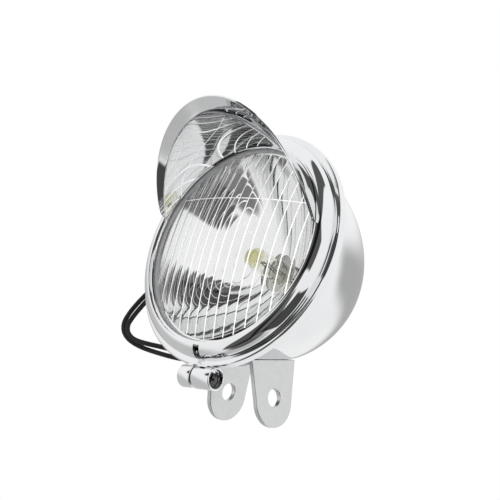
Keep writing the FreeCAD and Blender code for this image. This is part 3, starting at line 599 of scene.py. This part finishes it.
class LAMP_OT_trim_ring(bpy.types.Operator):
    """Split ring: quarter-round bead, crease, flat flange and skirt."""
    bl_idname = "lamp.trim_ring"
    bl_label = "Split ring"

    def execute(self, context):
        s = lamp_sizes()
        bm = bmesh.new()
        inner = s.bead_half - s.sheet
        along = math.cos(s.bead_turn)
        across = math.sin(s.bead_turn)
        crease = s.bead_half * along - s.bead_ahead
        rear = crease + s.sheet
        end = rear + s.skirt_depth
        first = bm.verts.new((0.0, -s.bead_ahead - s.bead_half * along, s.bead_circle - s.bead_half * across))
        vert = self.bead_arc(bm, s, first, s.bead_half, s.bead_rise, -1.0)
        vert = draw_to(bm, vert, crease, s.skirt_radius - s.skirt_round)
        vert = arc_round(bm, vert, (crease + s.skirt_round, s.skirt_radius - s.skirt_round), -math.pi / 2,
                         SKIRT_STEPS)
        vert = draw_to(bm, vert, end, s.skirt_radius)
        vert = draw_to(bm, vert, end, s.skirt_radius - s.sheet)
        vert = draw_to(bm, vert, rear, s.skirt_radius - s.sheet)
        vert = draw_to(bm, vert, rear, s.bead_circle + inner * across)
        vert = draw_to(bm, vert, -s.bead_ahead + inner * along, s.bead_circle + inner * across)
        vert = self.bead_arc(bm, s, vert, inner, s.bead_rise - s.sheet, 1.0)
        bm.edges.new((vert, first))
        start = Matrix.Rotation(math.pi + s.split_angle / 2, 3, "Y")
        bmesh.ops.rotate(bm, verts=bm.verts, cent=(0, 0, 0), matrix=start)
        bmesh.ops.spin(bm, geom=bm.verts[:] + bm.edges[:], cent=(0, 0, 0), axis=(0.0, 1.0, 0.0),
                       angle=math.tau - s.split_angle, steps=RING_STEPS, use_duplicate=False)
        bmesh.ops.remove_doubles(bm, verts=bm.verts, dist=WELD)
        ends = [edge for edge in bm.edges if edge.is_boundary]
        bmesh.ops.holes_fill(bm, edges=ends, sides=0)
        bmesh.ops.recalc_face_normals(bm, faces=bm.faces)
        place_piece("split_ring", bm, [finish("bright_chrome")], "trim_ring", sharp=30.0)
        return {"FINISHED"}

    @staticmethod
    def bead_arc(bm, s, vert, half, rise, way):
        """Sweep a vertex over the bead's chord, which leans by the bead's turn."""
        radius = arc_radius(half, rise)
        below = radius - rise
        centre = (-s.bead_ahead + below * math.sin(s.bead_turn),
                  s.bead_circle - below * math.cos(s.bead_turn))
        return arc_round(bm, vert, centre, way * 2 * math.asin(half / radius), BEAD_STEPS)


class LAMP_OT_clamp(bpy.types.Operator):
    """Two barrels on the ring's ends, each with a neck, and the screw between them."""
    bl_idname = "lamp.clamp"
    bl_label = "Clamp"

    def execute(self, context):
        s = lamp_sizes()
        self.barrel(s, "clamp_lug_right", 1.0, s.barrel_right, s.barrel_sink_depth)
        self.barrel(s, "clamp_lug_left", -1.0, s.barrel_left, 0.0)
        keep_solid("clamp_screw", "dark_zinc")
        return {"FINISHED"}

    @staticmethod
    def barrel(s, node, way, far, sink):
        """A bored barrel along X with a neck up to the skirt."""
        height = -(s.skirt_radius + s.barrel_drop)
        bm = bmesh.new()
        corners = [(s.barrel_near, s.barrel_bore), (s.barrel_near, s.barrel_radius), (far, s.barrel_radius)]
        if sink:
            corners += [(far, s.barrel_sink), (far - sink, s.barrel_sink), (far - sink, s.barrel_bore)]
        else:
            corners += [(far, s.barrel_bore)]
        draw_outline(bm, [(way * x, 0.0, radius) for x, radius in corners])
        spin_full(bm, BARREL_STEPS, axis=(1.0, 0.0, 0.0))
        round_sharp(bm, s.barrel_edge, 3)
        bmesh.ops.translate(bm, verts=bm.verts, vec=(0.0, -s.barrel_ahead, height))
        neck_end = far - s.neck_short
        neck_top = -s.skirt_radius + s.neck_sink
        middle = Vector((way * (s.barrel_near + neck_end) / 2, -s.barrel_ahead,
                         (height + s.barrel_bore + neck_top) / 2))
        size = (neck_end - s.barrel_near, s.neck_width, neck_top - height - s.barrel_bore)
        neck = bmesh.ops.create_cube(bm, size=1.0, matrix=Matrix.LocRotScale(middle, None, size))["verts"]
        edges = list({edge for vert in neck for edge in vert.link_edges})
        round_off(bm, edges, s.barrel_edge, 2)
        place_piece(node.replace("lug", "barrel"), bm, [finish("bright_chrome")], node)


class LAMP_OT_visor(bpy.types.Operator):
    """Hood with a flaring wall, a lip that turns out and a flat flange behind the ring."""
    bl_idname = "lamp.visor"
    bl_label = "Visor"

    def execute(self, context):
        s = lamp_sizes()
        bm = bmesh.new()
        bmesh.ops.create_grid(bm, x_segments=HOOD_AROUND, y_segments=HOOD_OUT, size=0.5)
        for vert in bm.verts:
            angle = s.visor_end_angle + (math.pi - 2 * s.visor_end_angle) * (vert.co.x + 0.5)
            y, radius = self.section(s, angle, vert.co.y + 0.5)
            vert.co = (math.cos(angle) * radius, y, math.sin(angle) * radius)
        bmesh.ops.recalc_face_normals(bm, faces=bm.faces)
        crown = Vector((0.0, *self.section(s, math.pi / 2, 0.5)))
        middle = min(bm.faces, key=lambda face: (face.calc_center_median() - crown).length)
        if middle.normal.z < 0:
            bmesh.ops.reverse_faces(bm, faces=bm.faces)
        bmesh.ops.solidify(bm, geom=bm.faces[:], thickness=-s.visor_wall)
        bmesh.ops.recalc_face_normals(bm, faces=bm.faces)
        round_sharp(bm, s.visor_wall * 0.35, 3, limit=60.0)
        flat = bmesh.new()
        front = lip_back()
        rear = front + s.visor_wall
        draw_outline(flat, [(0.0, front, s.lens_radius), (0.0, rear, s.lens_radius),
                            (0.0, rear, s.visor_flange), (0.0, front, s.visor_flange)])
        spin_full(flat, HOOD_FLANGE_STEPS)
        joined = bpy.data.meshes.new("hood_flange")
        flat.to_mesh(joined)
        flat.free()
        bm.from_mesh(joined)
        bpy.data.meshes.remove(joined)
        place_piece("hood", bm, [finish("bright_chrome")], "visor")
        return {"FINISHED"}

    @staticmethod
    def section(s, angle, share_out):
        """Place on the hood's inner face at an angle round the beam, from its root at 0 to its edge at 1."""
        low = math.sin(s.visor_end_angle)
        share = max((math.sin(angle) - low) / (1.0 - low), 0.0)
        root_y = lip_back() + s.visor_wall / 2
        lip_front = -s.bead_ahead - s.bead_half * math.cos(s.bead_turn)
        edge_y = lip_front - s.visor_end_reach - (s.visor_reach - s.visor_end_reach) * share
        lip = s.visor_lip * (s.visor_lip_end + (1.0 - s.visor_lip_end) * math.sqrt(share))
        wall = root_y - edge_y
        total = wall + lip
        along = share_out * total
        reach = min(along / wall, 1.0)
        waist = 4.0 * s.visor_waist - 1.0
        radius = s.visor_root + s.visor_flare * share * (waist * reach + (1.0 - waist) * reach * reach)
        y = root_y - min(along, wall)
        if along > wall:
            y -= (along - wall) * math.cos(s.visor_lip_turn)
            radius += (along - wall) * math.sin(s.visor_lip_turn)
        return y, radius


class LAMP_OT_lens(bpy.types.Operator):
    """Convex glass with upright flutes that follow the dome on its inner side, and its rubber ring."""
    bl_idname = "lamp.lens"
    bl_label = "Lens"

    def execute(self, context):
        s = lamp_sizes()
        edge = s.lens_radius - s.gasket_width
        columns = self.columns(s, edge)
        rows = self.rows()
        bm = bmesh.new()
        bmesh.ops.create_grid(bm, x_segments=len(columns) - 1, y_segments=len(rows) - 1, size=0.5)
        for vert in bm.verts:
            x = columns[round((vert.co.x + 0.5) * (len(columns) - 1))]
            row = rows[round((vert.co.y + 0.5) * (len(rows) - 1))]
            vert.co = self.inner_place(s, x, self.height(s, x, row, edge))
        bmesh.ops.remove_doubles(bm, verts=bm.verts, dist=LENS_WELD)
        for face in bm.faces:
            # Ridge faces take the painted glow finish.
            face.material_index = 1 if self.is_ridge(s, face.calc_center_median(), edge) else 0
        self.close_front(bm, s)
        bmesh.ops.remove_doubles(bm, verts=bm.verts, dist=LENS_WELD)
        bmesh.ops.recalc_face_normals(bm, faces=bm.faces)
        finishes = [finish("lens_glass"), finish("flute_ridge")]
        place_piece("fluted_glass", bm, finishes, "lens", sharp=20.0)
        keep_solid("lens_gasket", "grey_rubber")
        return {"FINISHED"}

    @staticmethod
    def inner_mouth(s):
        """Radius of the inner dome."""
        return s.lens_mouth - s.lens_glass

    @classmethod
    def pitch(cls, s):
        """Width of a flute."""
        return 2 * cls.inner_mouth(s) / s.flute_count

    @classmethod
    def columns(cls, s, edge):
        """Places across the glass: close together at the flutes' ridges, and by angle past the last ones."""
        mouth = cls.inner_mouth(s)
        shares = (0.0, s.flute_ridge, *FLUTE_PLACES, 1.0 - s.flute_ridge)
        places = [cls.pitch(s) * (index + share) - mouth
                  for index in range(s.flute_count) for share in shares]
        last = math.acos(mouth / edge)
        side = [edge * math.cos(last * k / LENS_SIDE_STEPS) for k in range(LENS_SIDE_STEPS)]
        return [-x for x in side] + places + [mouth] + side[::-1]

    @staticmethod
    def rows():
        """Places up the glass: below the level ridge, across it and above it."""
        lower = [("lower", k / LENS_ROWS_BELOW) for k in range(LENS_ROWS_BELOW + 1)]
        upper = [("upper", k / LENS_ROWS_ABOVE) for k in range(LENS_ROWS_ABOVE + 1)]
        return lower + upper

    @staticmethod
    def height(s, x, row, edge):
        """Height of a row at a place across the glass."""
        top = math.sqrt(max(edge * edge - x * x, 0.0))
        line = min(s.lens_line, top * LINE_LIMIT)
        half = min(s.lens_line_width / 2, top * LINE_HALF_LIMIT)
        part, share = row
        if part == "lower":
            return -top + (line - half + top) * share
        return line + half + (top - line - half) * share

    @classmethod
    def inner_place(cls, s, x, z):
        """A place on the inner face: a dome with a hollow for each flute, or the flat back of the rim."""
        mouth = cls.inner_mouth(s)
        pitch = cls.pitch(s)
        rise = s.lens_rise + s.lens_rim - s.lens_glass
        dome = arc_radius(mouth, rise)
        centre = lens_front() - s.lens_rise + s.lens_glass + dome
        hollow = 0.0
        if abs(x) < mouth:
            off = (x + mouth) % pitch - pitch / 2
            ridge = math.sqrt(s.flute_round ** 2 - pitch * pitch / 4)
            hollow = math.sqrt(s.flute_round ** 2 - off * off) - ridge
        y = centre - math.sqrt((dome + hollow) ** 2 - x * x - z * z)
        return Vector((x, min(y, lens_back()), z))

    @classmethod
    def is_ridge(cls, s, spot, edge):
        """Whether a spot on the inner face lies on a ridge between flutes or on the level ridge."""
        mouth = cls.inner_mouth(s)
        if math.hypot(spot.x, spot.z) > mouth:
            return False
        share = ((spot.x + mouth) / cls.pitch(s)) % 1.0
        upright = min(share, 1.0 - share) < s.flute_ridge
        top = math.sqrt(edge ** 2 - spot.x ** 2)
        level = abs(spot.z - s.lens_line) < s.lens_line_width / 2 and top * LINE_LIMIT > s.lens_line
        return upright or level

    @staticmethod
    def close_front(bm, s):
        """Carry the inner face's edge round the rim and over the outer dome to its crown."""
        rise = s.lens_rise
        dome = arc_radius(s.lens_mouth, rise)
        centre = lens_front() - rise + dome
        stations = [(s.lens_radius, lens_back()), (s.lens_radius, lens_front()), (s.lens_mouth, lens_front())]
        for k in range(1, LENS_FRONT_STEPS + 1):
            radius = s.lens_mouth * (1.0 - k / LENS_FRONT_STEPS)
            stations.append((radius, centre - math.sqrt(dome * dome - radius * radius)))
        edges = [edge for edge in bm.edges if edge.is_boundary]
        for radius, y in stations:
            grown = bmesh.ops.extrude_edge_only(bm, edges=edges)["geom"]
            for vert in made_of(bmesh.types.BMVert, grown):
                out = Vector((vert.co.x, vert.co.z)).normalized() * radius
                vert.co = (out.x, y, out.y)
            edges = made_of(bmesh.types.BMEdge, grown)


class LAMP_OT_reflector(bpy.types.Operator):
    """Parabolic dish with a flat flange and a bulb hole."""
    bl_idname = "lamp.reflector"
    bl_label = "Reflector"

    def execute(self, context):
        s = lamp_sizes()
        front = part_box("reflector")[0][1] + s.lamp_ahead
        deep = s.reflector_depth / (s.reflector_mouth ** 2 - s.bulb_hole ** 2)
        bm = bmesh.new()
        rim = bm.verts.new((0.0, front, s.lens_radius))
        mouth = draw_to(bm, rim, front, s.reflector_mouth)
        hole = draw_to(bm, mouth, front, s.bulb_hole)
        bmesh.ops.subdivide_edges(bm, edges=hole.link_edges[:], cuts=DISH_CUTS)
        for vert in bm.verts:
            if vert.co.z < s.reflector_mouth:
                vert.co.y = front + deep * (s.reflector_mouth ** 2 - vert.co.z ** 2)
        spin_full(bm, DISH_STEPS)
        middle = bm.faces[0]
        if middle.normal.y > 0:
            bmesh.ops.reverse_faces(bm, faces=bm.faces)
        bmesh.ops.solidify(bm, geom=bm.faces[:], thickness=s.reflector_wall)
        place_piece("dish", bm, [finish("dish_mirror")], "reflector")
        return {"FINISHED"}


class LAMP_OT_bulb(bpy.types.Operator):
    """Bulb glass with its coil, flange, spring and connector."""
    bl_idname = "lamp.bulb"
    bl_label = "Bulb"

    def execute(self, context):
        s = lamp_sizes()
        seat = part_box("bulb_base")[0][1] + s.lamp_ahead
        bm = bmesh.new()
        shoulder = seat - s.envelope_length + s.envelope_radius
        inside = s.envelope_radius - s.envelope_wall
        first = bm.verts.new((0.0, seat, s.envelope_radius))
        vert = draw_to(bm, first, shoulder, s.envelope_radius)
        arc_round(bm, vert, (shoulder, 0.0), math.pi / 2, BULB_TIP_STEPS)
        vert = draw_to(bm, first, seat, inside)
        vert = draw_to(bm, vert, shoulder, inside)
        arc_round(bm, vert, (shoulder, 0.0), math.pi / 2, BULB_TIP_STEPS)
        spin_full(bm, BULB_STEPS)
        place_piece("bulb_glass", bm, [self.envelope_glass(s)], "bulb_envelope")
        keep_solid("bulb_filament", "tungsten")
        keep_solid("bulb_base", "bulb_metal")
        keep_solid("bulb_clip", "spring_steel")
        keep_solid("bulb_connector", "black_plastic")
        return {"FINISHED"}

    @staticmethod
    def envelope_glass(s):
        """Clear glass that is tinted towards the bulb's tip."""
        c = lamp_colours()
        clear = {"Transmission Weight": 1.0, "IOR": 1.45}
        material = worked_material("bulb_glass", c.bulb, c.bulb, 0.0, 0.02, 200.0, 0.02, clear)
        tree = material.node_tree
        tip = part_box("bulb_envelope")[0][1]
        begins, full = (tip + s.envelope_length * share for share in BULB_TINT)
        place = tree.nodes.new("ShaderNodeTexCoord").outputs["Object"]
        depth = add_node(tree, "ShaderNodeSeparateXYZ", {0: place}).outputs["Y"]
        rise = add_node(tree, "ShaderNodeMapRange", {"Value": depth, "From Min": begins, "From Max": full})
        tint = colour_mix(tree, rise.outputs[0], c.bulb, c.bulb_tip)
        tree.links.new(tint, tree.nodes["Principled BSDF"].inputs["Base Color"])
        return material


class LAMP_OT_fittings(bpy.types.Operator):
    """Spring clips round the lamp unit and the rubber bush in the bowl."""
    bl_idname = "lamp.fittings"
    bl_label = "Fittings"

    def execute(self, context):
        keep_solid("unit_clips", "spring_steel")
        keep_solid("cable_grommet", "matt_rubber")
        return {"FINISHED"}


class LAMP_OT_stage(bpy.types.Operator):
    """Camera, pale surround with dark bands for the plating to mirror, floor and soft lights."""
    bl_idname = "lamp.stage"
    bl_label = "Stage"

    def execute(self, context):
        self.camera(context)
        self.surround(context)
        self.floor(context)
        self.lights(context)
        context.scene.view_settings.view_transform = "Standard"
        return {"FINISHED"}

    @classmethod
    def camera(cls, context):
        v = context.scene.camera_view
        toward = cls.toward(v.azimuth, v.elevation)
        lens = bpy.data.cameras.new("view")
        lens.sensor_width = SENSOR_WIDTH
        lens.lens = lens.sensor_width * v.focal_pixels / v.frame_pixels
        lens.shift_x = 0.5 - v.centre_x / v.frame_pixels
        lens.shift_y = v.centre_y / v.frame_pixels - 0.5
        lens.clip_end = VIEW_END
        camera = bpy.data.objects.new("view", lens)
        camera.location = lamp_centre() + toward * v.distance
        camera.rotation_mode = "QUATERNION"
        camera.rotation_quaternion = toward.to_track_quat("Z", "Y") @ Quaternion((0.0, 0.0, 1.0), v.roll)
        context.scene.collection.objects.link(camera)
        context.scene.camera = camera

    @classmethod
    def surround(cls, context):
        """White for the camera. For the plating: pale, with dark bands and patches."""
        world = bpy.data.worlds.new("studio")
        context.scene.world = world
        world.use_nodes = True
        tree = world.node_tree
        tree.nodes.clear()
        place = tree.nodes.new("ShaderNodeTexCoord").outputs["Generated"]
        seen = tree.nodes.new("ShaderNodeLightPath").outputs
        outside = cls.ramp(tree, seen["Is Transmission Ray"], (0.0, 1.0), (1.0, 0.0))
        masks = []
        for *shape, depth in PLATING_BANDS:
            masks.append((cls.product(tree, outside, cls.band(tree, place, *shape)), depth))
        for *shape, depth in SURROUND_BANDS:
            masks.append((cls.band(tree, place, *shape), depth))
        for *shape, depth in SURROUND_PATCHES:
            masks.append((cls.patch(tree, place, *shape), depth))
        height = cls.along(tree, place, (0.0, 0.0, 1.0))
        light = cls.ramp(tree, height, (-1.0, 1.0), SURROUND_LEVELS)
        for mask, depth in masks:
            light = cls.product(tree, light, cls.ramp(tree, mask, (0.0, 1.0), (1.0, 1.0 - depth)))
        glow = add_node(tree, "ShaderNodeBackground", {"Strength": light}).outputs[0]
        plain = add_node(tree, "ShaderNodeBackground", {"Color": (1.0, 1.0, 1.0, 1.0)}).outputs[0]
        mix = add_node(tree, "ShaderNodeMixShader", {"Fac": seen["Is Camera Ray"], 1: glow, 2: plain})
        add_node(tree, "ShaderNodeOutputWorld", {"Surface": mix.outputs[0]})

    @staticmethod
    def toward(azimuth, elevation):
        """A direction by its angles: azimuth 0 is ahead of the lamp, a quarter turn is +X."""
        level = math.cos(elevation)
        return Vector((math.sin(azimuth) * level, -math.cos(azimuth) * level, math.sin(elevation)))

    @staticmethod
    def along(tree, place, direction):
        """How far the surround's place lies along a direction."""
        dot = add_node(tree, "ShaderNodeVectorMath", {0: place, 1: direction}, operation="DOT_PRODUCT")
        return dot.outputs["Value"]

    @staticmethod
    def ramp(tree, value, span, levels):
        """A smooth step between two levels over a span of a value."""
        ends = {"From Min": span[0], "From Max": span[1], "To Min": levels[0], "To Max": levels[1]}
        step = add_node(tree, "ShaderNodeMapRange", {"Value": value, **ends}, interpolation_type="SMOOTHSTEP")
        return step.outputs[0]

    @staticmethod
    def product(tree, first, second):
        """Two values multiplied."""
        return add_node(tree, "ShaderNodeMath", {0: first, 1: second}, operation="MULTIPLY").outputs[0]

    @classmethod
    def band(cls, tree, place, first, last, half_width, soft):
        """A mask for a band of sky from one direction to another, with soft edges."""
        first = cls.toward(*map(math.radians, first))
        last = cls.toward(*map(math.radians, last))
        beside = cls.along(tree, place, first.cross(last).normalized())
        off = add_node(tree, "ShaderNodeMath", {0: beside}, operation="ABSOLUTE")
        edge = math.sin(math.radians(half_width))
        side = cls.ramp(tree, off.outputs[0], (edge + soft, edge - soft), (0.0, 1.0))
        half_length = first.angle(last) / 2
        span = math.cos(half_length + soft), math.cos(half_length - soft)
        ends = cls.ramp(tree, cls.along(tree, place, (first + last).normalized()), span, (0.0, 1.0))
        return cls.product(tree, side, ends)

    @classmethod
    def patch(cls, tree, place, centre, radius, soft):
        """A mask for a round patch of sky, with a soft edge."""
        limit = math.cos(math.radians(radius))
        near = cls.along(tree, place, cls.toward(*map(math.radians, centre)))
        return cls.ramp(tree, near, (limit - soft, limit + soft), (0.0, 1.0))

    @staticmethod
    def floor(context):
        bm = bmesh.new()
        bmesh.ops.create_grid(bm, x_segments=4, y_segments=4, size=FLOOR_HALF)
        bmesh.ops.translate(bm, verts=bm.verts, vec=(0.0, 0.0, -FLOOR_DEPTH))
        mesh = bpy.data.meshes.new("floor")
        bm.to_mesh(mesh)
        bm.free()
        mesh.materials.append(finish("studio_floor"))
        floor = bpy.data.objects.new("floor", mesh)
        floor.visible_glossy = floor.visible_transmission = False
        context.scene.collection.objects.link(floor)

    @staticmethod
    def lights(context):
        for name, place, size, power in STUDIO_LIGHTS:
            lamp = bpy.data.lights.new(name, "AREA")
            lamp.shape = "DISK"
            lamp.size = size
            lamp.energy = power
            light = bpy.data.objects.new(name, lamp)
            light.location = place
            light.rotation_mode = "QUATERNION"
            light.rotation_quaternion = (light.location - lamp_centre()).to_track_quat("Z", "Y")
            light.visible_glossy = light.visible_transmission = False
            context.scene.collection.objects.link(light)


OPERATORS = (LAMP_OT_stage, LAMP_OT_wires, LAMP_OT_bucket, LAMP_OT_bracket, LAMP_OT_trim_ring, LAMP_OT_clamp,
             LAMP_OT_visor, LAMP_OT_lens, LAMP_OT_reflector, LAMP_OT_bulb, LAMP_OT_fittings)


class LAMP_PT_panel(bpy.types.Panel):
    """Lists the steps that dress the driving light."""
    bl_idname = "LAMP_PT_panel"
    bl_label = "Driving Light"
    bl_space_type = "VIEW_3D"
    bl_region_type = "UI"
    bl_category = "Driving Light"

    def draw(self, context):
        for operator in OPERATORS:
            self.layout.operator(operator.bl_idname)


CLASSES = (LampSizes, LampColours, CameraView, *OPERATORS, LAMP_PT_panel)


def register():
    for cls in CLASSES:
        bpy.utils.register_class(cls)
    bpy.types.Scene.lamp_sizes = PointerProperty(type=LampSizes)
    bpy.types.Scene.lamp_colours = PointerProperty(type=LampColours)
    bpy.types.Scene.camera_view = PointerProperty(type=CameraView)


def unregister():
    del bpy.types.Scene.camera_view
    del bpy.types.Scene.lamp_colours
    del bpy.types.Scene.lamp_sizes
    for cls in reversed(CLASSES):
        bpy.utils.unregister_class(cls)


def main():
    register()
    for operator in OPERATORS:
        group, name = operator.bl_idname.split(".")
        getattr(getattr(bpy.ops, group), name)()


if __name__ == "__main__":
    main()
